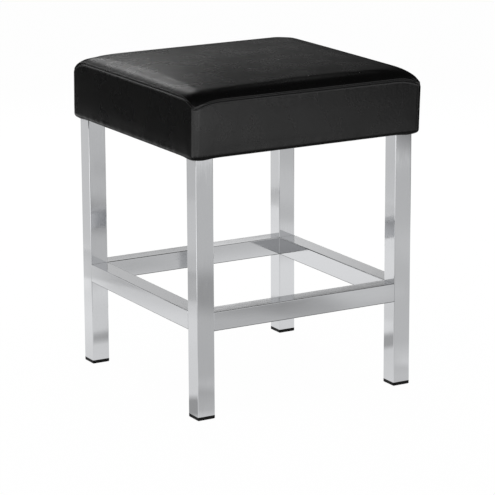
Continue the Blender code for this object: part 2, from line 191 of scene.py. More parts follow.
class StoolStudio(bpy.types.PropertyGroup):
    """Places and levels of the stage."""
    lens: FloatProperty(name="Lens", description="Focal length in mm on a 36 mm sensor", default=191.7)
    azimuth: angle("Azimuth", "Camera's turn round the stool", -29.946)
    elevation: angle("Elevation", "Camera's height as an angle", 14.236)
    roll: angle("Roll", "Camera's lean", -0.26)
    distance: length("Distance", "Camera's distance from its target", 3600.3)
    target: FloatVectorProperty(name="Target", description="Point that the camera looks at", size=3,
                                default=(-0.92 * MM, -11.57 * MM, 179.47 * MM), subtype="TRANSLATION")
    shown_paper: share("Shown paper", "How far the camera sees plain white in place of the lit floor", 0.985)
    mirrored_paper: share("Mirrored paper", "The same for what the metal mirrors", 0.9)
    # Levels of the mirrored paper: painted light and shade on the floor's glow that the metal mirrors
    sheet_level: share("Paper level", "Brightness of the mirrored paper under and behind the stool", 1.16, 2)
    left_level: share("Left level", "Brightness of what is mirrored past the paper's left edge", 0.87, 2)
    front_level: share("Front level", "Brightness of the mirrored paper in front of the stool", 0.7, 2)
    right_level: share("Right level", "Brightness of the mirrored paper in front and to the right", 0.77, 2)
    far_gain: share("Far gain", "How much brighter it is far in front", 2.95, 3)
    edge_level: share("Edge level", "Share of that left past the paper's right edge", 0.0)
    front_room: share("Front room level", "Brightness of the room behind the camera", 0.9)
    back_room: share("Back room level", "Brightness of the room behind the stool and overhead", 0.008)
    backdrop_place: length("Backdrop distance", "How far behind the stool the board and softboxes stand", 950)


# Nodes

def feed(tree, made, inputs):
    """Sets a node's inputs: each a value, a socket to link, or a node for its first output in use."""
    for key, value in inputs.items():
        if isinstance(value, bpy.types.Node):
            value = next(socket for socket in value.outputs if socket.enabled)
        if isinstance(value, bpy.types.NodeSocket):
            tree.links.new(value, made.inputs[key])
        else:
            made.inputs[key].default_value = value


def node(tree, kind, inputs=None, **settings):
    """Adds a node with its own settings, by name, and its inputs."""
    made = tree.nodes.new(kind)
    for name, value in settings.items():
        setattr(made, name, value)
    feed(tree, made, inputs or {})
    return made


def new_material(name):
    """A material with its node tree, its Principled shader and its Object coordinates."""
    material = bpy.data.materials.new(name)
    material.use_nodes = True
    tree = material.node_tree
    place = node(tree, "ShaderNodeTexCoord").outputs["Object"]
    return material, tree, tree.nodes["Principled BSDF"], place


# Materials

def chromed_tube(name, along, finish):
    """Bright chrome on buffed square tube.

    A mirror for the floor and the neighbouring tubes. The drawn wall isn't quite flat, and buffing runs along
    it, so what it mirrors wavers a little and shows faint lengthwise marks.
    """
    material, tree, shader, place = new_material(name)
    wave, mark, stretch = 22 * MM, 1.4 * MM, 0.07
    scale = [stretch if axis == along else 1.0 for axis in "xyz"]
    drawn = node(tree, "ShaderNodeMapping", {"Vector": place, "Scale": scale})
    waves = node(tree, "ShaderNodeTexNoise", {"Vector": drawn, "Scale": 1 / wave, "Detail": 1.0})
    marks = node(tree, "ShaderNodeTexNoise", {"Vector": drawn, "Scale": 1 / mark, "Detail": 2.0})
    rough = node(tree, "ShaderNodeMapRange", {
        "Value": marks, "From Min": 0.3, "From Max": 0.7, "To Min": 0.05, "To Max": 0.11})
    bent = node(tree, "ShaderNodeBump", {"Height": waves, "Strength": 1.0, "Distance": 0.05 * MM})
    feed(tree, shader, {"Base Color": (*finish.chrome, 1), "Metallic": 1, "Roughness": rough, "Normal": bent})
    return material


def zinc_plate(finish):
    """Zinc-plated steel, barrel plated: grey metal with a soft, slightly cloudy shine."""
    material, tree, shader, place = new_material("zinc_plated_steel")
    cloud = 2.5 * MM
    clouds = node(tree, "ShaderNodeTexNoise", {"Vector": place, "Scale": 1 / cloud, "Detail": 3.0})
    rough = node(tree, "ShaderNodeMapRange", {
        "Value": clouds, "From Min": 0.3, "From Max": 0.7, "To Min": 0.28, "To Max": 0.46})
    feed(tree, shader, {"Base Color": (*finish.zinc, 1), "Metallic": 1, "Roughness": rough})
    return material


def moulded_cap(finish):
    """Polypropylene moulded in a spark-eroded tool: a dull black skin with a fine, even pebble."""
    material, tree, shader, place = new_material("moulded_polypropylene")
    pebble = 0.6 * MM
    pebbles = node(tree, "ShaderNodeTexNoise", {"Vector": place, "Scale": 1 / pebble, "Detail": 2.0})
    skin = node(tree, "ShaderNodeBump", {"Height": pebbles, "Strength": 0.5, "Distance": 0.05 * MM})
    feed(tree, shader, {
        "Base Color": (*finish.plastic, 1), "Roughness": 0.5, "IOR": 1.49, "Specular IOR Level": 0.2,
        "Normal": skin})
    return material


def birch_ply(finish):
    """Birch plywood, sanded: pale faces with long grain, and darker lines where every second ply ends."""
    material, tree, shader, place = new_material("birch_plywood")
    ply, grain, grain_stretch = 1.4 * MM, 2.2 * MM, 0.05
    height = node(tree, "ShaderNodeSeparateXYZ", {"Vector": place}).outputs["Z"]
    plies = node(tree, "ShaderNodeMath", {0: height, 1: ply * 2}, operation="PINGPONG")
    edge = node(tree, "ShaderNodeMapRange", {
        "Value": plies, "From Min": ply * 0.9, "From Max": ply * 1.1, "To Min": 0.0, "To Max": 0.8})
    long = node(tree, "ShaderNodeMapping", {"Vector": place, "Scale": (grain_stretch, 1.0, 1.0)})
    lines = node(tree, "ShaderNodeTexNoise", {"Vector": long, "Scale": 1 / grain, "Detail": 4.0})
    mixed = node(tree, "ShaderNodeMath", {0: lines, 1: edge, 2: 0.1}, operation="MULTIPLY_ADD")
    tint = node(tree, "ShaderNodeMix", {
        "Factor": mixed, "A": (*finish.ply_pale, 1), "B": (*finish.ply_dark, 1)}, data_type="RGBA")
    feed(tree, shader, {"Base Color": tint, "Roughness": 0.62, "IOR": 1.5})
    return material


def grained_leatherette(finish):
    """Vinyl leatherette, embossed and lacquered.

    Nearly black, with a satin lacquer whose shine is broken by a pebble grain over fine wrinkles. The real
    grain, about 1 mm, is too fine to show at the render's scale, so it is drawn twice as coarse.
    """
    material, tree, shader, place = new_material("embossed_vinyl_leatherette")
    pebble, wrinkle, cloud = 2.0 * MM, 4.5 * MM, 40 * MM
    cells = node(tree, "ShaderNodeTexVoronoi", {"Vector": place, "Scale": 1 / pebble}, feature="SMOOTH_F1")
    wrinkles = node(tree, "ShaderNodeTexNoise", {"Vector": place, "Scale": 1 / wrinkle, "Detail": 3.0})
    soft = node(tree, "ShaderNodeBump", {"Height": wrinkles, "Strength": 1.0, "Distance": 0.04 * MM})
    grain = node(tree, "ShaderNodeBump", {
        "Height": cells, "Strength": 1.0, "Distance": 0.09 * MM, "Normal": soft}, invert=True)
    clouds = node(tree, "ShaderNodeTexNoise", {"Vector": place, "Scale": 1 / cloud, "Detail": 3.0})
    rough = node(tree, "ShaderNodeMapRange", {
        "Value": clouds, "From Min": 0.3, "From Max": 0.7, "To Min": 0.25, "To Max": 0.31})
    feed(tree, shader, {
        "Base Color": (*finish.leatherette, 1), "IOR": 1.5, "Roughness": rough, "Normal": grain})
    return material


def sewing_thread(finish):
    """Bonded polyester thread: black, with the dull shine of twisted filaments."""
    material, tree, shader, place = new_material("bonded_polyester_thread")
    ply, radians_per_unit = 0.4 * MM, 20
    twist = node(tree, "ShaderNodeTexWave", {
        "Vector": place, "Scale": 1 / ply / radians_per_unit, "Distortion": 1.5}).outputs["Fac"]
    lay = node(tree, "ShaderNodeBump", {"Height": twist, "Strength": 0.6, "Distance": 0.08 * MM})
    feed(tree, shader, {
        "Base Color": (*finish.thread, 1), "Roughness": 0.48, "IOR": 1.54, "Sheen Weight": 0.15,
        "Normal": lay})
    return material


def spunbond_cloth(finish):
    """Spunbonded polypropylene cloth: matt black felted fibres, pressed together in a grid of small dots."""
    material, tree, shader, place = new_material("spunbonded_dust_cloth")
    dot, fibre = 1.8 * MM, 0.7 * MM
    dots = node(tree, "ShaderNodeTexVoronoi", {"Vector": place, "Scale": 1 / dot, "Randomness": 0.0},
                voronoi_dimensions="2D")
    fibres = node(tree, "ShaderNodeTexNoise", {"Vector": place, "Scale": 1 / fibre, "Detail": 3.0})
    height = node(tree, "ShaderNodeMath", {0: fibres, 1: dots}, operation="ADD")
    press = node(tree, "ShaderNodeBump", {"Height": height, "Strength": 0.6, "Distance": 0.15 * MM})
    feed(tree, shader, {
        "Base Color": (*finish.dust_cloth, 1), "Roughness": 0.85, "IOR": 1.49, "Sheen Weight": 0.2,
        "Normal": press})
    return material


def dress(node_name, material):
    """Gives a node of the frame its finish."""
    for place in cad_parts[node_name].material_slots:
        place.material = material


# Meshes

def mesh_object(name, vertices, faces, material):
    """A smooth object with its faces sharp only where they turn hard."""
    mesh = bpy.data.meshes.new(name)
    mesh.from_pydata(vertices, [], faces)
    mesh.validate()
    mesh.shade_smooth()
    mesh.set_sharp_from_angle(angle=math.radians(65))
    mesh.materials.append(material)
    made = bpy.data.objects.new(name, mesh)
    bpy.context.collection.objects.link(made)
    return made


def side_stations(corner_steps, spans):
    """Stations along one side, corner to corner: share of the straight run, and turn round the corner."""
    turn = np.linspace(0, math.pi / 4, corner_steps + 1)
    run = np.linspace(-1, 1, spans + 1)
    shares = np.concatenate([-np.ones(corner_steps), run, np.ones(corner_steps)])
    turns = np.concatenate([-turn[:0:-1], np.zeros(spans + 1), turn[1:]])
    return shares, turns


def plan_rings(stations, half, radius):
    """Rounded squares, one per row, as x and y: front side first, then right, rear and left."""
    shares, turns = (part[None, :-1] for part in stations)
    straight = (half - radius)[:, None]
    x = straight * shares + radius[:, None] * np.sin(turns)
    y = -straight - radius[:, None] * np.cos(turns)
    return np.concatenate([x, -y, -x, y], axis=1), np.concatenate([y, x, -y, -x], axis=1)


def patch_grid(x, y, spans):
    """Points inside a ring of four equal sides, as a grid blended from the ring."""
    edge = np.stack([np.append(x, x[0]), np.append(y, y[0])], axis=1)
    front, right, rear, left = (edge[k * spans:(k + 1) * spans + 1] for k in range(4))
    rear, left = rear[::-1], left[::-1]
    u = (front[:, 0] - front[0, 0]) / (front[-1, 0] - front[0, 0])
    u, v = u[:, None, None], u[None, :, None]
    across = (1 - v) * front[:, None] + v * rear[:, None]
    along = (1 - u) * left[None] + u * right[None]
    ends = ((1 - u) * (1 - v) * front[0] + u * (1 - v) * front[-1]
            + (1 - u) * v * rear[0] + u * v * rear[-1])
    return across + along - ends


def patch_indices(spans, first):
    """Vertex numbers of that grid: the ring's own round the edge, and new ones inside."""
    count = 4 * spans
    steps = np.arange(spans + 1)
    grid = np.zeros((spans + 1, spans + 1), int)
    grid[1:-1, 1:-1] = first + np.arange((spans - 1) ** 2).reshape(spans - 1, spans - 1)
    grid[:, 0] = steps
    grid[-1, :] = spans + steps
    grid[::-1, -1] = 2 * spans + steps
    grid[0, ::-1] = (3 * spans + steps) % count
    return grid


def quads(a, b, c, d):
    """Faces from four arrays of vertex numbers."""
    return np.stack([a, b, c, d], axis=-1).reshape(-1, 4).tolist()


def ring_faces(rows, count):
    """Faces between successive rings, facing out."""
    grid = np.arange(rows * count).reshape(rows, count)
    ahead = np.roll(grid, -1, axis=1)
    return quads(grid[:-1], grid[1:], ahead[1:], ahead[:-1])


def grid_faces(grid):
    """Faces of a patch, facing up."""
    return quads(grid[:-1, :-1], grid[1:, :-1], grid[1:, 1:], grid[:-1, 1:])


def closed_shell(rings, grid):
    """Points and faces of rings closed by a grid on top and by one face below, and the grid's numbers."""
    rows, count = rings.shape[:2]
    numbers = patch_indices(count // 4, rows * count)
    points = np.concatenate([rings.reshape(-1, 3), grid[1:-1, 1:-1].reshape(-1, 3)])
    faces = ring_faces(rows, count) + grid_faces(numbers)
    faces.append(list(range(rows * count - 1, (rows - 1) * count - 1, -1)))
    return points, faces, numbers


def smooth_lookup(values, places, axis, wrap=False):
    """Values at fractional places along an axis, on a smooth curve through them."""
    count = values.shape[axis]
    base = np.floor(places).astype(int)
    t = places - base
    weights = (((2 - t) * t - 1) * t, (3 * t - 5) * t * t + 2, ((4 - 3 * t) * t + 1) * t, (t - 1) * t * t)
    spread = [1] * values.ndim
    spread[axis] = -1
    total = 0
    for step, weight in zip((-1, 0, 1, 2), weights):
        index = (base + step) % count if wrap else np.clip(base + step, 0, count - 1)
        total = total + np.take(values, index, axis) * (weight / 2).reshape(spread)
    return total


def hump(x, centre, width):
    """A smooth bump of height 1."""
    return np.exp(-((x - centre) / width) ** 2)


def ramp(x, start, end):
    """A smooth step from 0 to 1."""
    t = np.clip((x - start) / (end - start), 0, 1)
    return t * t * (3 - 2 * t)


def uneven(distance, *waves):
    """An irregular wave along a seam, between about -1 and 1, of a few lengths that don't fit each other."""
    shift = 1.7
    parts = (np.sin(2 * math.pi * distance / wave + shift * k * k) for k, wave in enumerate(waves))
    return sum(parts) / len(waves)


# Seat cushion

# Power of the curve on which the panel's edge rises
CROWN_POWER = 3.5

# Steps round half a corner and spans along a side, of the finished mesh and of the one that is filled
FINE_STATIONS = (6, 126)
COARSE_STATIONS = (2, 44)

# Pressure of the foam, and frames that the simulation runs
FILL_PRESSURE = 4
FILL_FRAMES = 20

# How each corner pulls the top seam down: its side in X and Y, the drop, and its reach along X and along Y
CORNER_PULLS = (
    (-1, -1, 8.2 * MM, 42 * MM, 26 * MM),
    (1, -1, 10.8 * MM, 42 * MM, 58 * MM),
    (1, 1, 8.2 * MM, 38 * MM, 38 * MM),
    (-1, 1, 14.5 * MM, 68 * MM, 38 * MM),
)

# Thin spot of the foam at the rear left corner: place and half width, from the left side and from the rear
THIN_SPOT = ((17 * MM, 15 * MM), (11 * MM, 12 * MM))

# Sewn detail, as place and half width: down from the top seam, and then in from a corner seam
LIP = (0.5 * MM, 0.8 * MM)
ROUNDED_CORNER = (0, 2.5 * MM)
LAPPED_GROOVE, SIDE_GROOVE = 4.3 * MM, 2.9 * MM
STITCH_WIDTH = 0.7 * MM
CORNER_RIDGE = (0, 0.8 * MM)
CORNER_GROOVE = (2.1 * MM, 0.7 * MM)


def cover_section(cover):
    """Section of the cover at mid-side, from the panel's middle to its hem.

    Gives the distance from the top seam, negative on the panel, and there the inset, the height and the share
    of the corner dip.
    """
    inset = np.linspace(cover.patch_inset, 0, 500)
    slope = np.clip(1 - inset / cover.crown_run, 0, None)
    rise = SEAM_HEIGHT + cover.crown_height * (1 - slope ** CROWN_POWER)
    panel = np.stack([inset, rise, slope ** 2], axis=1)
    fall = np.linspace(0, 1, 100)[1:]
    roll = cover.bottom_roll
    band = np.stack([cover.side_draw * fall, SEAM_HEIGHT + (roll - SEAM_HEIGHT) * fall, 1 - fall], axis=1)
    turn = np.linspace(0, math.pi / 2, 60)[1:]
    inward = cover.side_draw + roll * (1 - np.cos(turn))
    under = np.stack([inward, roll * (1 - np.sin(turn)), 0 * turn], axis=1)
    points = np.concatenate([panel, band, under, [[cover.hem_width, 0, 0]]])
    steps = np.hypot(*np.diff(points[:, :2], axis=0).T)
    distance = np.concatenate([[0], np.cumsum(steps)])
    return distance - distance[len(panel) - 1], points


def cover_rows(cover, section, distance):
    """Inset, height, dip share and plan radius of rows at the given distances from the top seam."""
    along, points = section
    inset, height, dip = (np.interp(distance, along, points[:, k]) for k in range(3))
    grown = np.sin(math.pi / 2 * np.clip(inset / cover.crown_corner_run, 0, 1))
    closed = ramp(inset, cover.crown_corner_run, cover.patch_inset)
    on_panel = cover.corner_radius + (cover.crown_corner_radius - cover.corner_radius) * grown
    on_panel = on_panel + (cover.patch_radius - cover.crown_corner_radius) * closed
    on_band = np.maximum(cover.corner_radius - inset, cover.thickness)
    return inset, height, dip, np.where(distance < 0, on_panel, on_band)


def panel_dome(cover, x, y):
    """Rise of the whole panel towards its middle."""
    along, across = (np.clip(1 - (place / HALF_SEAT) ** 2, 0, 1) for place in (x, y))
    return cover.crown_dome * along * across


def corner_drop(x, y):
    """How far the nearest corner pulls the cover down."""
    from_x, from_y = (np.clip(HALF_SEAT - abs(place), 0, None) for place in (x, y))
    drop = np.zeros(x.shape)
    for right, rear, deep, along_x, along_y in CORNER_PULLS:
        away = np.hypot((from_x / along_x) ** 2, (from_y / along_y) ** 2) ** 0.5
        pulled = deep * np.clip(1 - away, 0, None) ** 2
        drop = np.where((right * x > 0) & (rear * y > 0), pulled, drop)
    return drop


def seam_level(cover, x, y):
    """Height of the top seam against its mean: higher on the left, lower at the front and the corners."""
    left, front = (np.clip(-place / HALF_SEAT, 0, 1) ** 8 for place in (x, y))
    between = np.clip(1 - (y / HALF_SEAT) ** 8, 0, 1)
    return cover.left_high * left * between - cover.front_low * front - corner_drop(x, y)


def hand_sewn(cover, points, lifted):
    """The cover as sewn by hand: it leans a little, isn't quite square, and is fuller on the right."""
    right, rear = (np.clip(points[..., k] / HALF_SEAT, 0, 1) ** 2 for k in (0, 1))
    shift = cover.lean * np.clip((points[..., 2] - SEAT_BOTTOM) / SEAM_HEIGHT, 0, 1)
    lift = lifted * (cover.right_high * right - cover.rear_low * rear)
    return points + np.stack([shift, -cover.rear_short * rear, lift], axis=-1)


def cover_points(cover, section, stations, distance):
    """Rings of the smooth cover, and the grid of its panel's middle."""
    inset, height, dip, radius = cover_rows(cover, section, distance)
    on_panel = np.where(distance < 0, 1, 0)[:, None]
    x, y = plan_rings(stations, HALF_SEAT - inset, radius)
    z = SEAT_BOTTOM + height[:, None] + dip[:, None] * seam_level(cover, x, y)
    z = z + on_panel * panel_dome(cover, x, y)
    thin = hump(HALF_SEAT + x, *THIN_SPOT[0]) * hump(HALF_SEAT - y, *THIN_SPOT[1])
    off_seam = ramp(inset, 0, 6 * MM)[:, None]
    z = z - cover.thin_corner * on_panel * thin * off_seam
    grid = patch_grid(x[0], y[0], x.shape[1] // 4)
    middle = SEAT_BOTTOM + height[0] + panel_dome(cover, grid[..., 0], grid[..., 1])
    lifted = ramp(inset, 0, cover.crown_run)[:, None] * on_panel
    rings = hand_sewn(cover, np.stack([x, y, z], axis=-1), lifted)
    return rings, hand_sewn(cover, np.concatenate([grid, middle[..., None]], axis=-1), 1)


def row_distances(cover, section, seam, on_panel, on_band, under):
    """Rows of a mesh: those given at the seam, and even ones on panel, band and underside."""
    along = section[0]
    roll_start = SEAM_HEIGHT - cover.bottom_roll
    return np.concatenate([
        np.linspace(along[0], seam[0], on_panel)[:-1], seam,
        np.linspace(seam[-1], roll_start, on_band)[1:], np.linspace(roll_start, along[-1], under)[1:]])


def coarse_distances(cover, section):
    """Rows of the mesh that is filled by simulation."""
    return row_distances(cover, section, np.zeros(1), on_panel=11, on_band=12, under=7)


def fine_distances(cover, section):
    """Rows of the finished mesh, close together where a seam or the stitching shapes it."""
    above = np.array([-6.2, -4.5, -3.2, -2.2, -1.5, -1, -0.6, -0.3]) * MM
    below = np.array([0, 0.3, 0.6, 1, 1.5, 2, 2.4, 2.75, 3.1, 3.45, 3.8]) * MM
    stitch = cover.allowance + np.array([-0.75, -0.4, 0, 0.4, 0.75, 1.2, 2, 3]) * MM
    seam = np.concatenate([above, below, stitch])
    return row_distances(cover, section, seam, on_panel=22, on_band=26, under=18)


def fill_cover(cover, section, stations, distance):
    """Sews the cover slightly small and lets foam pressure fill it: how far that moves each coarse point.

    The seams, the corner seams and the hem are held, so the panel and the bands swell between them.
    """
    rings, grid = cover_points(cover, section, stations, distance)
    spans = rings.shape[1] // 4
    points, faces, numbers = closed_shell(rings, grid)
    bag = mesh_object("cover_filling", points.tolist(), faces, None)
    normals = np.array([v.normal for v in bag.data.vertices])
    held = np.zeros(rings.shape[:2], bool)
    held[np.isclose(distance, 0)] = True
    held[distance > SEAM_HEIGHT] = True
    held[distance > 0, ::spans] = True
    held = np.concatenate([held.ravel(), np.zeros((spans - 1) ** 2, bool)])
    start = points - normals * np.where(held, 0, cover.slack)[:, None]
    bag.data.vertices.foreach_set("co", start.ravel())
    group = bag.vertex_groups.new(name="held")
    group.add(np.flatnonzero(held).tolist(), 1.0, "REPLACE")
    cloth = bag.modifiers.new("Filling", "CLOTH").settings
    cloth.vertex_group_mass = "held"
    cloth.use_pressure = True
    cloth.uniform_pressure_force = FILL_PRESSURE
    cloth.effector_weights.gravity = 0
    scene = bpy.context.scene
    for step in range(1, FILL_FRAMES + 1):
        scene.frame_set(step)
    filled = bag.evaluated_get(bpy.context.evaluated_depsgraph_get()).data
    moved = np.empty(len(points) * 3)
    filled.vertices.foreach_get("co", moved)
    moved = moved.reshape(-1, 3) - start
    size = np.linalg.norm(moved, axis=1, keepdims=True)
    swell = start + moved * cover.swell_limit / np.hypot(size, cover.swell_limit) - points
    scene.frame_set(1)
    mesh = bag.data
    bpy.data.objects.remove(bag)
    bpy.data.meshes.remove(mesh)
    return swell[:held.size - (spans - 1) ** 2].reshape(rings.shape), swell[numbers]


def swollen_cover(cover):
    """The finished cover's rings and middle grid, with the filling's swell carried over from the coarse mesh.

    The folded allowances keep the cover stiff beside each seam and at the hem, so the swell fades there.
    """
    section = cover_section(cover)
    fine, coarse = side_stations(*FINE_STATIONS), side_stations(*COARSE_STATIONS)
    distance = fine_distances(cover, section)
    rings, grid = cover_points(cover, section, fine, distance)
    coarse_rows = coarse_distances(cover, section)
    ring_swell, grid_swell = fill_cover(cover, section, coarse, coarse_rows)
    rows = np.interp(distance, coarse_rows, np.arange(len(coarse_rows)))
    columns = np.interp(fine[0] + fine[1], coarse[0] + coarse[1], np.arange(len(coarse[0])))
    spans = len(coarse[0]) - 1
    round_it = np.concatenate([columns[:-1] + spans * k for k in range(4)])
    down = distance[:, None]
    near = HALF_SEAT - np.abs(rings[..., :2]).min(axis=2)
    stiff, free, hem_fade = 3 * MM, 30 * MM, 25 * MM
    on_band = ramp(near, stiff, free) * ramp(SEAM_HEIGHT - down, 0, hem_fade)
    give = ramp(np.abs(down), stiff, free) * np.where(down > 0, on_band, 1)
    swell = smooth_lookup(smooth_lookup(ring_swell, rows, 0), round_it, 1, wrap=True)
    rings = rings + give[..., None] * swell
    grid = grid + smooth_lookup(smooth_lookup(grid_swell, columns, 0), columns, 1)
    return distance, rings, grid


def seam_relief(cover, distance, count):
    """Height of the sewn detail on each ring point, along its normal."""
    corner_steps, spans = FINE_STATIONS
    run = 2 * (HALF_SEAT - cover.corner_radius)
    arc = cover.corner_radius * math.pi / 4
    beside = np.concatenate([np.linspace(0, arc, corner_steps + 1)[:-1], arc + np.linspace(0, run, spans + 1),
                             arc + run + np.linspace(0, arc, corner_steps + 1)[1:]])[:-1]
    side = beside[-1] + arc / corner_steps
    near = np.tile(np.minimum(beside, side - beside), 4)[None]
    lapped = np.repeat([1.0, 0.0, 1.0, 0.0], count // 4)[None]
    along = np.concatenate([beside + side * k for k in range(4)])[None]
    down = distance[:, None]
    # The seam's depth wavers along it, and its edge is rounded off towards the corners
    deep = 1 + 0.2 * uneven(along, 31 * MM, 17 * MM, 11 * MM)
    groove = np.where(lapped > 0, cover.groove_depth, cover.side_groove_depth) * deep
    straight = ramp(near, 2 * MM, 18 * MM)
    top = (cover.lip_height * straight * hump(down, *LIP)
           - cover.corner_round * (1 - straight) * hump(down, *ROUNDED_CORNER)
           - groove * hump(down, np.where(lapped > 0, LAPPED_GROOVE, SIDE_GROOVE), cover.groove_half_width)
           - cover.stitch_dent * deep * hump(down, cover.allowance, STITCH_WIDTH))
    on_band = ramp(down, 0.5 * MM, 3 * MM) * (1 - ramp(down, SEAM_HEIGHT - 6 * MM, SEAM_HEIGHT + 8 * MM))
    corner = (cover.corner_ridge * hump(near, *CORNER_RIDGE)
              - cover.corner_depth * lapped * hump(near, *CORNER_GROOVE)
              - cover.stitch_dent * lapped * hump(near, cover.allowance, STITCH_WIDTH))
    # Puckers below the stitching, above the seam and over the hem
    puckers = cover.pucker * (
        uneven(along, 8.6 * MM, 13.1 * MM, 19.7 * MM) * hump(down, cover.allowance + 1 * MM, 6 * MM)
        + uneven(along + 40 * MM, 9.4 * MM, 14.9 * MM, 22.3 * MM) * hump(down, -4 * MM, 4 * MM)
        + 1.5 * uneven(along, 26 * MM, 39 * MM, 17 * MM) * hump(down, SEAM_HEIGHT - 5 * MM, 6 * MM))
    folds = cover.corner_fold * hump(near, 16 * MM, 12 * MM) * hump(down, SEAM_HEIGHT + 3 * MM, 3.5 * MM)
    return top + on_band * corner + puckers + folds


def ring_normals(rings):
    """Outward normals of the rings' points."""
    down = np.gradient(rings, axis=0)
    along = np.roll(rings, -1, axis=1) - np.roll(rings, 1, axis=1)
    normals = np.cross(down, along)
    return normals / np.linalg.norm(normals, axis=-1, keepdims=True)


def inner_rings(cover, stations):
    """Rings inside the cover: over the hem, up beside the board and in above it."""
    pocket = HALF_SEAT - board_high.x - BOARD_GAP
    ceiling = board_high.z + BOARD_GAP - SEAT_BOTTOM
    hem_top = cover.thickness
    lip = cover.hem_width
    inset = np.array([lip, pocket, pocket, pocket + 20 * MM])
    height = np.array([hem_top, hem_top, ceiling, ceiling])
    radius = np.maximum(cover.corner_radius - inset, cover.thickness)
    x, y = plan_rings(stations, HALF_SEAT - inset, radius)
    return np.stack([x, y, np.repeat(SEAT_BOTTOM + height[:, None], x.shape[1], axis=1)], axis=-1)


def sewn_cover(cover):
    """The finished cover: distances of its rows, its rings with their normals, and its middle grid."""
    distance, rings, grid = swollen_cover(cover)
    normals = ring_normals(rings)
    rings = rings + normals * seam_relief(cover, distance, rings.shape[1])[..., None]
    return distance, rings, normals, grid


def stitch_lines(cover, distance, rings, normals):
    """Topstitching as runs of points and normals: below the top seam, and beside the corner seams."""
    count = rings.shape[1]
    spans = count // 4
    corner_steps = FINE_STATIONS[0]
    row = int(np.argmin(abs(distance - cover.allowance)))
    last = int(np.argmin(abs(distance - (SEAM_HEIGHT - 4 * MM))))
    lap = int(round(cover.allowance / (cover.corner_radius * math.pi / 4 / corner_steps)))
    runs = []
    for side in range(4):
        start = side * spans
        across = np.arange(start + lap, start + spans - lap + 1) % count
        runs.append((rings[row, across], normals[row, across]))
        if side % 2 == 0:
            for column in (start + lap, start + spans - lap):
                runs.append((rings[row:last, column], normals[row:last, column]))
    return runs


# Operators

class StoolFrameFinish(bpy.types.Operator):
    """Chromes the legs, the stretchers and the corner plates"""
    bl_idname = "stool.frame_finish"
    bl_label = "Chromed frame"

    def execute(self, context):
        finish = context.scene.stool_finish
        upright = chromed_tube("chromed_leg_tube", "z", finish)
        for corner in CORNERS:
            dress("leg_" + corner, upright)
            dress("corner_plate_" + corner, upright)
        for along, pair in (("x", ("front", "rear")), ("y", ("left", "right"))):
            level = chromed_tube("chromed_stretcher_tube_" + along, along, finish)
            for side in pair:
                dress("stretcher_" + side, level)
        return {"FINISHED"}


class StoolFrameWelds(bpy.types.Operator):
    """Runs a dressed weld round each stretcher's end, where it meets the leg"""
    bl_idname = "stool.frame_welds"
    bl_label = "Frame welds"

    def execute(self, context):
        sizes = context.scene.stool_welds
        chrome = bpy.data.materials["chromed_leg_tube"]
        welds = lines_object("frame_welds", self.loops(sizes), closed=True)
        grow(welds, wire_tree("dressed_welds", chrome), {"Radius": sizes.bead})
        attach(welds, "root")
        return {"FINISHED"}

    def loops(self, sizes):
        """Loops round the tube's outline that follow the legs' inner faces and their rounded corners."""
        leg_face = -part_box("leg_front_left")[1].x
        corner = sizes.tube_corner
        made = []
        for side in SIDES:
            low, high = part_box("stretcher_" + side)
            along = 0 if side in ("front", "rear") else 1
            half = (high.z - low.z) / 2
            outline = np.array([[half], [corner]]) - sizes.inset
            across, up = (part[0] for part in plan_rings(side_stations(3, 6), *outline))
            into_corner = np.clip(corner - (half - abs(across)), 0, corner)
            fall = corner - np.sqrt(corner ** 2 - into_corner ** 2)
            for end in (-1, 1):
                points = np.zeros((len(across), 3))
                points[:, along] = end * (leg_face + fall / 2)
                points[:, 1 - along] = (low[1 - along] + high[1 - along]) / 2 + across
                points[:, 2] = (low.z + high.z) / 2 + up
                made.append(points)
        return made


class StoolFootCaps(bpy.types.Operator):
    """Finishes the foot caps as moulded plastic"""
    bl_idname = "stool.foot_caps"
    bl_label = "Foot caps"

    def execute(self, context):
        plastic = moulded_cap(context.scene.stool_finish)
        for corner in CORNERS:
            dress("foot_cap_" + corner, plastic)
        return {"FINISHED"}


class StoolFixings(bpy.types.Operator):
    """Finishes the seat bolts and the tee nuts as plated steel"""
    bl_idname = "stool.fixings"
    bl_label = "Fixings"

    def execute(self, context):
        zinc = zinc_plate(context.scene.stool_finish)
        for corner in CORNERS:
            for number in ("1", "2"):
                dress(f"seat_bolt_{corner}_{number}", zinc)
                dress(f"tee_nut_{corner}_{number}", zinc)
        return {"FINISHED"}


class StoolSeatBoard(bpy.types.Operator):
    """Finishes the seat board as plywood"""
    bl_idname = "stool.seat_board"
    bl_label = "Seat board"

    def execute(self, context):
        dress("seat_board", birch_ply(context.scene.stool_finish))
        return {"FINISHED"}


class StoolCushion(bpy.types.Operator):
    """Fills and sews the boxed cushion, and topstitches it"""
    bl_idname = "stool.cushion"
    bl_label = "Seat cushion"

    def execute(self, context):
        cover = context.scene.stool_cover
        distance, rings, normals, grid = sewn_cover(cover)
        inside = inner_rings(cover, side_stations(*FINE_STATIONS))
        points, faces = closed_shell(np.concatenate([rings, inside]), grid)[:2]
        leather = grained_leatherette(context.scene.stool_finish)
        cushion = mesh_object("seat_cushion", points.tolist(), faces, leather)
        bands = ["cover_band_" + side for side in SIDES]
        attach(cushion, "root")
        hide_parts("foam_pad", "cover_top_panel", *bands)
        sew_stitches(context, stitch_lines(cover, distance, rings, normals))
        return {"FINISHED"}


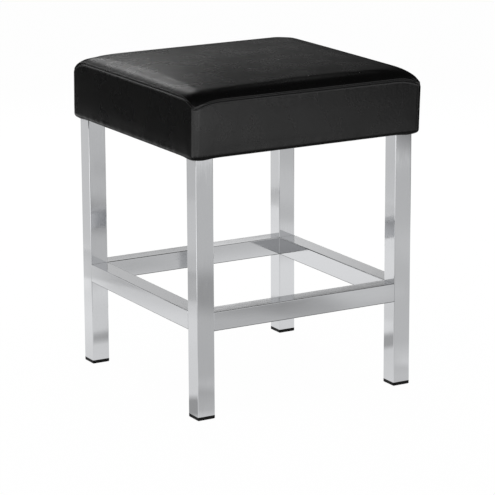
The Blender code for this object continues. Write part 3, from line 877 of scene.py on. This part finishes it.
def lines_tree(name, sizes):
    """Starts a Geometry Nodes tree on lines: gives the tree, its inputs and the lines as curves."""
    tree = bpy.data.node_groups.new(name, "GeometryNodeTree")
    for socket, kind in {"Lines": "Geometry", **sizes}.items():
        tree.interface.new_socket(name=socket, in_out="INPUT", socket_type="NodeSocket" + kind)
    tree.interface.new_socket(name="Made", in_out="OUTPUT", socket_type="NodeSocketGeometry")
    given = node(tree, "NodeGroupInput").outputs
    return tree, given, node(tree, "GeometryNodeMeshToCurve", {"Mesh": given["Lines"]})


def end_tree(tree, geometry, material):
    """Ends such a tree: its instances made real, in one material."""
    real = node(tree, "GeometryNodeRealizeInstances", {"Geometry": geometry})
    dressed = node(tree, "GeometryNodeSetMaterial", {"Geometry": real, "Material": material})
    node(tree, "NodeGroupOutput", {"Made": dressed})
    return tree


STITCH_SIZES = {"Pitch": "Float", "Stitch": "Float", "Thread": "Float", "Rise": "Float", "Sway": "Float",
                "Seed": "Int"}


def stitch_tree(material):
    """Geometry Nodes that lay stitches along sewing lines."""
    tree, given, line = lines_tree("topstitching", STITCH_SIZES)
    spaced = node(tree, "GeometryNodeResampleCurve", {"Curve": line, "Length": given["Pitch"]}, mode="LENGTH")
    shares = (("Stitch", -0.5), ("Stitch", 0.5), ("Rise", -0.5), ("Thread", 0.5), ("Sway", -1.0))
    back, ahead, dip, thick, low = (
        node(tree, "ShaderNodeMath", {0: given[name], 1: factor}, operation="MULTIPLY")
        for name, factor in shares)
    start = node(tree, "ShaderNodeCombineXYZ", {"X": back, "Z": dip})
    top = node(tree, "ShaderNodeCombineXYZ", {"Z": given["Rise"]})
    end = node(tree, "ShaderNodeCombineXYZ", {"X": ahead, "Z": dip})
    arch = node(tree, "GeometryNodeCurveQuadraticBezier", {
        "Resolution": 5, "Start": start, "Middle": top, "End": end})
    section = node(tree, "GeometryNodeCurvePrimitiveCircle", {"Resolution": 6, "Radius": thick})
    stitch = node(tree, "GeometryNodeCurveToMesh", {
        "Curve": arch, "Profile Curve": section, "Fill Caps": True})
    out = node(tree, "GeometryNodeInputNamedAttribute", {"Name": "surface_normal"}, data_type="FLOAT_VECTOR")
    tangent = node(tree, "GeometryNodeInputTangent")
    stand = node(tree, "FunctionNodeAlignRotationToVector", {"Vector": out}, axis="Z")
    lie = node(tree, "FunctionNodeAlignRotationToVector", {"Rotation": stand, "Vector": tangent},
               axis="X", pivot_axis="Z")
    lean = node(tree, "FunctionNodeRandomValue", {2: low, 3: given["Sway"], "Seed": given["Seed"]},
                data_type="FLOAT")
    turn = node(tree, "ShaderNodeCombineXYZ", {"Z": lean})
    swayed = node(tree, "FunctionNodeEulerToRotation", {"Euler": turn})
    aimed = node(tree, "FunctionNodeRotateRotation", {"Rotation": lie, "Rotate By": swayed},
                 rotation_space="LOCAL")
    sewn = node(tree, "GeometryNodeInstanceOnPoints", {
        "Points": spaced, "Instance": stitch, "Rotation": aimed})
    return end_tree(tree, sewn, material)


def sew_stitches(context, runs):
    """Topstitching along runs of points and normals."""
    sizes = context.scene.stool_stitching
    stitches = lines_object("seat_stitches", [run[0] for run in runs])
    attribute = stitches.data.attributes.new("surface_normal", "FLOAT_VECTOR", "POINT")
    attribute.data.foreach_set("vector", np.concatenate([run[1] for run in runs]).ravel())
    thread = sewing_thread(context.scene.stool_finish)
    grow(stitches, stitch_tree(thread), {name: getattr(sizes, name.lower()) for name in STITCH_SIZES})
    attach(stitches, "root")


def wire_tree(name, material):
    """Geometry Nodes that turn lines into round wire."""
    tree, given, line = lines_tree(name, {"Radius": "Float"})
    section = node(tree, "GeometryNodeCurvePrimitiveCircle", {"Resolution": 8, "Radius": given["Radius"]})
    wire = node(tree, "GeometryNodeCurveToMesh", {"Curve": line, "Profile Curve": section, "Fill Caps": True})
    return end_tree(tree, wire, material)


def lines_object(name, runs, closed=False):
    """Runs of points as one object of plain edges."""
    edges, first = [], 0
    for run in runs:
        edges += [(first + k, first + k + 1) for k in range(len(run) - 1)]
        if closed:
            edges.append((first + len(run) - 1, first))
        first += len(run)
    mesh = bpy.data.meshes.new(name)
    mesh.from_pydata(np.concatenate(runs).tolist(), edges, [])
    made = bpy.data.objects.new(name, mesh)
    bpy.context.collection.objects.link(made)
    return made


def grow(made, tree, values):
    """Runs a node tree on an object with its inputs set, and keeps the result as plain mesh."""
    modifier = made.modifiers.new(tree.name, "NODES")
    modifier.node_group = tree
    for socket in tree.interface.items_tree:
        if socket.name in values:
            modifier[socket.identifier] = values[socket.name]
    make_plain(made)


def make_plain(made):
    """Turns an object's modifiers into plain mesh."""
    evaluated = made.evaluated_get(bpy.context.evaluated_depsgraph_get())
    mesh = bpy.data.meshes.new_from_object(evaluated)
    made.modifiers.clear()
    made.data = mesh
    mesh.shade_smooth()


class StoolDustCloth(bpy.types.Operator):
    """Stretches the dust cloth under the seat"""
    bl_idname = "stool.dust_cloth"
    bl_label = "Dust cloth"

    def execute(self, context):
        sizes = context.scene.stool_dust_cover
        half = dust_high.x
        stations = side_stations(4, 60)
        x, y = plan_rings(stations, np.array([half]), np.array([sizes.corner_radius]))
        count = x.shape[1]
        grid = patch_grid(x[0], y[0], count // 4)
        px, py = grid[..., 0], grid[..., 1]
        free = np.clip(1 - (px ** 2 + py ** 2) / sizes.sag_reach ** 2, 0, 1) ** 2
        ripples = uneven(px + 0.3 * py, 61 * MM, 43 * MM) * uneven(py - 0.4 * px, 57 * MM, 37 * MM)
        hang = free * (sizes.sag + sizes.ripple * ripples)
        numbers = patch_indices(count // 4, count)
        layers = []
        for height in (dust_low.z, dust_high.z):
            layer = np.zeros((numbers.max() + 1, 3))
            layer[numbers.ravel()] = np.stack([px, py, height - hang], axis=-1).reshape(-1, 3)
            layers.append(layer)
        size = len(layers[0])
        edge = np.arange(count)
        ahead = np.roll(edge, -1)
        faces = grid_faces(numbers.T) + grid_faces(numbers + size)
        faces += quads(edge, ahead, ahead + size, edge + size)
        cloth = spunbond_cloth(context.scene.stool_finish)
        sheet = mesh_object("underseat_dust_cloth", np.concatenate(layers).tolist(), faces, cloth)
        self.punch(sheet, sizes)
        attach(sheet, "root")
        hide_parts("dust_cover")
        return {"FINISHED"}

    def punch(self, sheet, sizes):
        """Cuts the holes that the seat bolts pass through."""
        cutter = bmesh.new()
        for corner in CORNERS:
            for number in ("1", "2"):
                low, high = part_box(f"tee_nut_{corner}_{number}")
                middle = (low + high) / 2
                radius = sizes.bolt_radius + sizes.bolt_room
                place = Matrix.Translation((middle.x, middle.y, dust_low.z))
                bmesh.ops.create_cone(cutter, cap_ends=True, segments=24, radius1=radius, radius2=radius,
                                      depth=10 * MM, matrix=place)
        mesh = bpy.data.meshes.new("bolt_holes")
        cutter.to_mesh(mesh)
        cutter.free()
        holes = bpy.data.objects.new("bolt_holes", mesh)
        bpy.context.collection.objects.link(holes)
        cut = sheet.modifiers.new("Bolt holes", "BOOLEAN")
        cut.operation = "DIFFERENCE"
        cut.object = holes
        make_plain(sheet)
        bpy.data.objects.remove(holes)
        bpy.data.meshes.remove(mesh)


class StoolClothStaples(bpy.types.Operator):
    """Staples the dust cloth to the board"""
    bl_idname = "stool.cloth_staples"
    bl_label = "Dust cloth staples"

    def execute(self, context):
        sizes = context.scene.stool_staples
        edge = dust_high.x - sizes.inset
        across = np.array([-1, -1, 1, 1]) * sizes.crown / 2
        height = dust_low.z + np.array([1, 0, 0, 1]) * sizes.leg - 0.7 * sizes.wire
        runs = []
        for place in np.linspace(-sizes.reach, sizes.reach, sizes.count):
            x, y = place + across, np.full(4, -edge)
            for turned in ((x, y), (-y, x), (-x, -y), (y, -x)):
                runs.append(np.stack([*turned, height], axis=-1))
        staples = lines_object("dust_cloth_staples", runs)
        zinc = bpy.data.materials["zinc_plated_steel"]
        grow(staples, wire_tree("staple_wire", zinc), {"Radius": sizes.wire})
        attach(staples, "root")
        return {"FINISHED"}


# Pools of shade and light on the mirrored paper: place, reach across and in depth, change of brightness
PAPER_POOLS = (
    (0.195, -0.70, 0.15, 0.17, -0.36),
    (0.06, 0.025, 0.30, 0.04, -0.45),
    (0.08, 0.26, 0.07, 0.08, -0.5),
    (-0.195, -0.11, 0.05, 0.06, -0.55),
    (-0.12, -0.24, 0.08, 0.08, -0.3),
    (0.18, -0.20, 0.06, 0.07, -0.25),
    (-0.15, 0.0, 0.45, 0.35, -0.1),
    (-1.3, -0.3, 0.75, 0.7, 2.0),
    (-0.45, -1.9, 0.5, 0.35, -0.2),
    (-0.29, -0.33, 0.08, 0.09, 0.6),
    (0, 0.1, 0.05, 0.05, 0.13),
    (0.37, -0.6, 0.07, 0.07, 0.14),
    (-0.34, 0.7, 0.13, 0.22, 0.3),
    (0.24, -0.56, 0.08, 0.08, -0.22),
    (0.47, -0.95, 0.1, 0.12, -0.18),
    (0.64, -0.7, 0.14, 0.25, 0.14),
    (0.46, -0.4, 0.07, 0.08, 0.3),
    (0.9, -1.42, 0.14, 0.14, 0.2),
    (0.15, -0.29, 0.08, 0.06, -0.17),
    (-0.42, 0.45, 0.08, 0.2, -0.12),
    (-0.56, 0.53, 0.1, 0.12, -0.12),
)


class StoolStage(bpy.types.Operator):
    """Sets the white floor, the lights, the room and the camera"""
    bl_idname = "stool.stage"
    bl_label = "Studio"

    def execute(self, context):
        studio = context.scene.stool_studio
        back = studio.backdrop_place
        self.floor(context, studio)
        # Low boards that the stretchers' tops mirror
        card("left_board", (0, 0.45), (0.19, 0.45), (0.222, 0.34), (0.72, 0.66))
        card("right_board", (0.19, 0.45), (0.862, 0.45), (0.222, 0.34), (0.944, 0.4))
        # Board that the upper ends of the legs mirror, and a flag that keeps the seat's outline dark
        card("leg_board", (-1.1, back), (0.1, back), (0, 0.53), (0.62, 1.15))
        card("back_flag", (0.1, back), (1.5, back), (0, 0.56), (0.02, 0.02))
        # Cards that the seat's top mirrors, fading to the right, with a gap beside the strip light
        card("left_seat_card", (0.2, back), (0.42, back), (0.55, 0.675), (0.34, 0.38))
        card("right_seat_card", (0.42, back), (0.95, back), (0.55, 0.675), (0.44, 0.07))
        card("upper_left_card", (0.2, back), (0.37, back), (0.675, 0.88), (0.06, 0.06))
        card("upper_right_card", (0.56, back), (0.95, back), (0.675, 0.88), (0.07, 0.04))
        # Card that the upper edges of the left tube mirror
        card("edge_card", (-0.42, back), (0.02, back), (0.57, 0.86), (0.6, 0.5))
        # Flag beside the seat that keeps the bright floor out of its left side
        card("black_flag", (-0.21, -0.14), (-0.21, 0.5), (0.3265, 0.437), (0.05, 0.05))
        self.room(context, studio)
        # Strip light over the rear: its glow runs along the left edge of the panel
        soft_box("strip_light", (0.18, 0.785, 0.725), (0, 0, -1), (0.1, 0.48), 2.8)
        soft_box("strip_fill", (0, 0.67, 0.725), (0, 0, -1), (0.26, 0.46), 0.32)
        # Side softbox: draws the line of the left seam and the upper edges of the tube
        soft_box("side_softbox", (-0.6, back, 0.78), (0.5, -0.85, -0.2), (0.4, 0.45), 1.6)
        # Two lights that aren't mirrored: they give the floor its level and the stool its shadows
        overhead = soft_box("overhead_light", (-0.2, -0.2, 2.2), (0, 0, -1), (1.8, 1.8), 3.0)
        rear = soft_box("rear_light", (0.75, 1.5, 0.95), (-0.4, -0.8, -0.45), (0.9, 0.6), 13)
        for lamp in (overhead, rear):
            lamp.visible_glossy = False
        self.camera(context, studio)
        context.scene.view_settings.view_transform = "Standard"
        return {"FINISHED"}

    def floor(self, context, studio):
        """White floor: all but plain white to the camera.

        To metal it is a glowing paper of painted light and shade, with faint real shadows.
        """
        reach = 12
        corners = [(-reach, -reach, 0), (reach, -reach, 0), (reach, reach, 0), (-reach, reach, 0)]
        material, tree, shader, place = new_material("white_paper_floor")
        tree.nodes.remove(shader)
        mirrored = self.paper_level(tree, place, studio)
        ray = node(tree, "ShaderNodeLightPath").outputs
        strength = node(tree, "ShaderNodeMapRange", {
            "Value": ray["Is Camera Ray"], "To Min": mirrored, "To Max": 1.0})
        bounced = node(tree, "ShaderNodeMath", {
            0: ray["Is Glossy Ray"], 1: ray["Is Transmission Ray"]}, operation="MAXIMUM")
        reflected = node(tree, "ShaderNodeMath", {0: bounced, 1: studio.mirrored_paper}, operation="MULTIPLY")
        shown = node(tree, "ShaderNodeMapRange", {
            "Value": ray["Is Camera Ray"], "To Min": reflected, "To Max": studio.shown_paper})
        plain = node(tree, "ShaderNodeBsdfDiffuse", {"Color": (*context.scene.stool_finish.paper, 1)})
        glow = node(tree, "ShaderNodeEmission", {"Strength": strength})
        mixed = node(tree, "ShaderNodeMixShader", {0: shown, 1: plain, 2: glow})
        feed(tree, tree.nodes["Material Output"], {"Surface": mixed})
        floor = mesh_object("white_floor", corners, [(0, 1, 2, 3)], material)

    def paper_level(self, tree, place, studio):
        """Brightness of the mirrored paper: by place, with its edges, far end and pools, and by slope.

        Its levels are painted light and shade. A ray that comes up steeply from the floor sees it painted
        darker, as in the shade under the seat.
        """
        parts = node(tree, "ShaderNodeSeparateXYZ", {"Vector": place}).outputs
        # Behind the stool the paper ends on the left at a slanting line, with a painted shadow line along it
        across = node(tree, "ShaderNodeVectorMath", {0: place, 1: (1, -0.37, 0)}, operation="DOT_PRODUCT")
        behind = node(tree, "ShaderNodeMapRange", {
            "Value": across, "From Min": -0.79, "From Max": -0.42,
            "To Min": studio.left_level, "To Max": studio.sheet_level})
        at_edge = node(tree, "ShaderNodeMath", {0: across, 1: -0.645, 2: 0.07}, operation="COMPARE")
        edge = node(tree, "ShaderNodeMath", {0: at_edge, 1: -0.28, 2: 1.0}, operation="MULTIPLY_ADD")
        # In front it is painted darker, less so on the right, and painted brighter again far away
        ahead = node(tree, "ShaderNodeMapRange", {
            "Value": parts["X"], "From Min": 0.0, "From Max": 0.3,
            "To Min": studio.front_level, "To Max": studio.right_level})
        level = node(tree, "ShaderNodeMapRange", {
            "Value": parts["Y"], "From Min": -0.34, "From Max": -0.2, "To Min": ahead, "To Max": behind})
        far = node(tree, "ShaderNodeMapRange", {
            "Value": parts["Y"], "From Min": -1.5, "From Max": -1.9,
            "To Min": 1.0, "To Max": studio.far_gain})
        # On the right it ends too
        right = node(tree, "ShaderNodeMapRange", {
            "Value": parts["X"], "From Min": 0.95, "From Max": 1.17,
            "To Min": 1.0, "To Max": studio.edge_level})
        from_ray = node(tree, "ShaderNodeNewGeometry").outputs["Incoming"]
        slope = node(tree, "ShaderNodeSeparateXYZ", {"Vector": from_ray}).outputs["Z"]
        steep = node(tree, "ShaderNodeMapRange", {
            "Value": slope, "From Min": 0.31, "From Max": 0.45, "To Min": 1.0, "To Max": 0.06})
        shares = [edge, far, right, steep]
        for x, y, wide, deep, change in PAPER_POOLS:
            near = node(tree, "ShaderNodeMapping", {
                "Vector": place, "Scale": (1 / wide, 1 / deep, 0), "Location": (-x / wide, -y / deep, 0)})
            away = node(tree, "ShaderNodeVectorMath", {0: near}, operation="LENGTH")
            shares.append(node(tree, "ShaderNodeMapRange", {
                "Value": away, "From Min": 0.5, "From Max": 1.0, "To Min": 1 + change, "To Max": 1.0}))
        for part in shares:
            level = node(tree, "ShaderNodeMath", {0: level, 1: part}, operation="MULTIPLY")
        return level

    def room(self, context, studio):
        """White to the camera; in reflections bright behind it, and dark overhead and behind the stool."""
        world = bpy.data.worlds.new("studio_room")
        world.use_nodes = True
        context.scene.world = world
        tree = world.node_tree
        towards = node(tree, "ShaderNodeTexCoord").outputs["Generated"]
        parts = node(tree, "ShaderNodeSeparateXYZ", {"Vector": towards}).outputs
        front = node(tree, "ShaderNodeMapRange", {
            "Value": parts["Z"], "From Min": 0.6, "From Max": 0.85,
            "To Min": studio.front_room, "To Max": studio.back_room})
        level = node(tree, "ShaderNodeMapRange", {
            "Value": parts["Y"], "From Min": -0.25, "From Max": 0.02,
            "To Min": front, "To Max": studio.back_room})
        ray = node(tree, "ShaderNodeLightPath").outputs
        seen = node(tree, "ShaderNodeMath", {
            0: ray["Is Camera Ray"], 1: ray["Is Transmission Ray"]}, operation="MAXIMUM")
        strength = node(tree, "ShaderNodeMapRange", {"Value": seen, "To Min": level, "To Max": 1.0})
        feed(tree, tree.nodes["Background"], {"Color": (1, 1, 1, 1), "Strength": strength})

    def camera(self, context, studio):
        """Camera at the photograph's viewing angle."""
        turn, rise, roll = studio.azimuth, studio.elevation, studio.roll
        back = Vector((math.sin(turn) * math.cos(rise), -math.cos(turn) * math.cos(rise), math.sin(rise)))
        right = (-back).cross(Vector((0, 0, 1))).normalized()
        up = right.cross(-back)
        leant = right * math.cos(roll) + up * math.sin(roll)
        upright = up * math.cos(roll) - right * math.sin(roll)
        data = bpy.data.cameras.new("camera")
        data.lens = studio.lens
        data.clip_end = 50
        camera = bpy.data.objects.new("camera", data)
        place = Vector(studio.target) + back * studio.distance
        axes = Matrix((leant, upright, back)).transposed()
        camera.matrix_world = Matrix.Translation(place) @ axes.to_4x4()
        context.collection.objects.link(camera)
        context.scene.camera = camera


def card(name, start, end, heights, brightness):
    """An upright card that only reflections see, from start to end in plan, with its brightness at both."""
    material, tree, shader, place = new_material(name)
    tree.nodes.remove(shader)
    run = Vector((*end, 0)) - Vector((*start, 0))
    step = run / run.length_squared
    first = step.dot(Vector((*start, 0)))
    along = node(tree, "ShaderNodeVectorMath", {0: place, 1: step}, operation="DOT_PRODUCT")
    level = node(tree, "ShaderNodeMapRange", {
        "Value": along, "From Min": first, "From Max": first + 1,
        "To Min": brightness[0], "To Max": brightness[1]})
    glow = node(tree, "ShaderNodeEmission", {"Strength": level})
    feed(tree, tree.nodes["Material Output"], {"Surface": glow})
    low, high = heights
    corners = ((*start, low), (*end, low), (*end, high), (*start, high))
    made = mesh_object(name, corners, [(0, 1, 2, 3)], material)
    made.visible_camera = False
    made.visible_diffuse = False
    made.visible_shadow = False


def soft_box(name, place, facing, size, brightness):
    """A rectangular light of an even brightness."""
    data = bpy.data.lights.new(name, "AREA")
    data.shape = "RECTANGLE"
    data.size, data.size_y = size
    data.energy = brightness * math.pi * size[0] * size[1]
    lamp = bpy.data.objects.new(name, data)
    lamp.location = place
    lamp.rotation_euler = Vector(facing).to_track_quat("-Z", "Y").to_euler()
    lamp.visible_camera = False
    bpy.context.collection.objects.link(lamp)
    return lamp


class StoolPanel(bpy.types.Panel):
    """Lists the stool's pieces"""
    bl_idname = "VIEW3D_PT_stool"
    bl_label = "Bathroom stool"
    bl_space_type = "VIEW_3D"
    bl_region_type = "UI"
    bl_category = "Stool"

    def draw(self, context):
        for operator in OPERATORS:
            self.layout.operator(operator.bl_idname)


OPERATORS = (StoolFrameFinish, StoolFrameWelds, StoolFootCaps, StoolFixings, StoolSeatBoard, StoolCushion,
             StoolDustCloth, StoolClothStaples, StoolStage)
SETTINGS = {
    "stool_cover": StoolCover,
    "stool_stitching": StoolStitching,
    "stool_dust_cover": StoolDustCover,
    "stool_staples": StoolStaples,
    "stool_welds": StoolWelds,
    "stool_finish": StoolFinish,
    "stool_studio": StoolStudio,
}
CLASSES = (*SETTINGS.values(), *OPERATORS, StoolPanel)


def register():
    """Adds the settings, the operators and the panel."""
    for each in CLASSES:
        bpy.utils.register_class(each)
    for name, group in SETTINGS.items():
        setattr(bpy.types.Scene, name, PointerProperty(type=group))


def unregister():
    """Takes them away again."""
    for name in SETTINGS:
        delattr(bpy.types.Scene, name)
    for each in reversed(CLASSES):
        bpy.utils.unregister_class(each)


def main():
    """Makes the stool around its frame, and sets up its studio."""
    register()
    bpy.ops.stool.frame_finish()
    bpy.ops.stool.frame_welds()
    bpy.ops.stool.foot_caps()
    bpy.ops.stool.fixings()
    bpy.ops.stool.seat_board()
    bpy.ops.stool.cushion()
    bpy.ops.stool.dust_cloth()
    bpy.ops.stool.cloth_staples()
    bpy.ops.stool.stage()


if __name__ == "__main__":
    main()
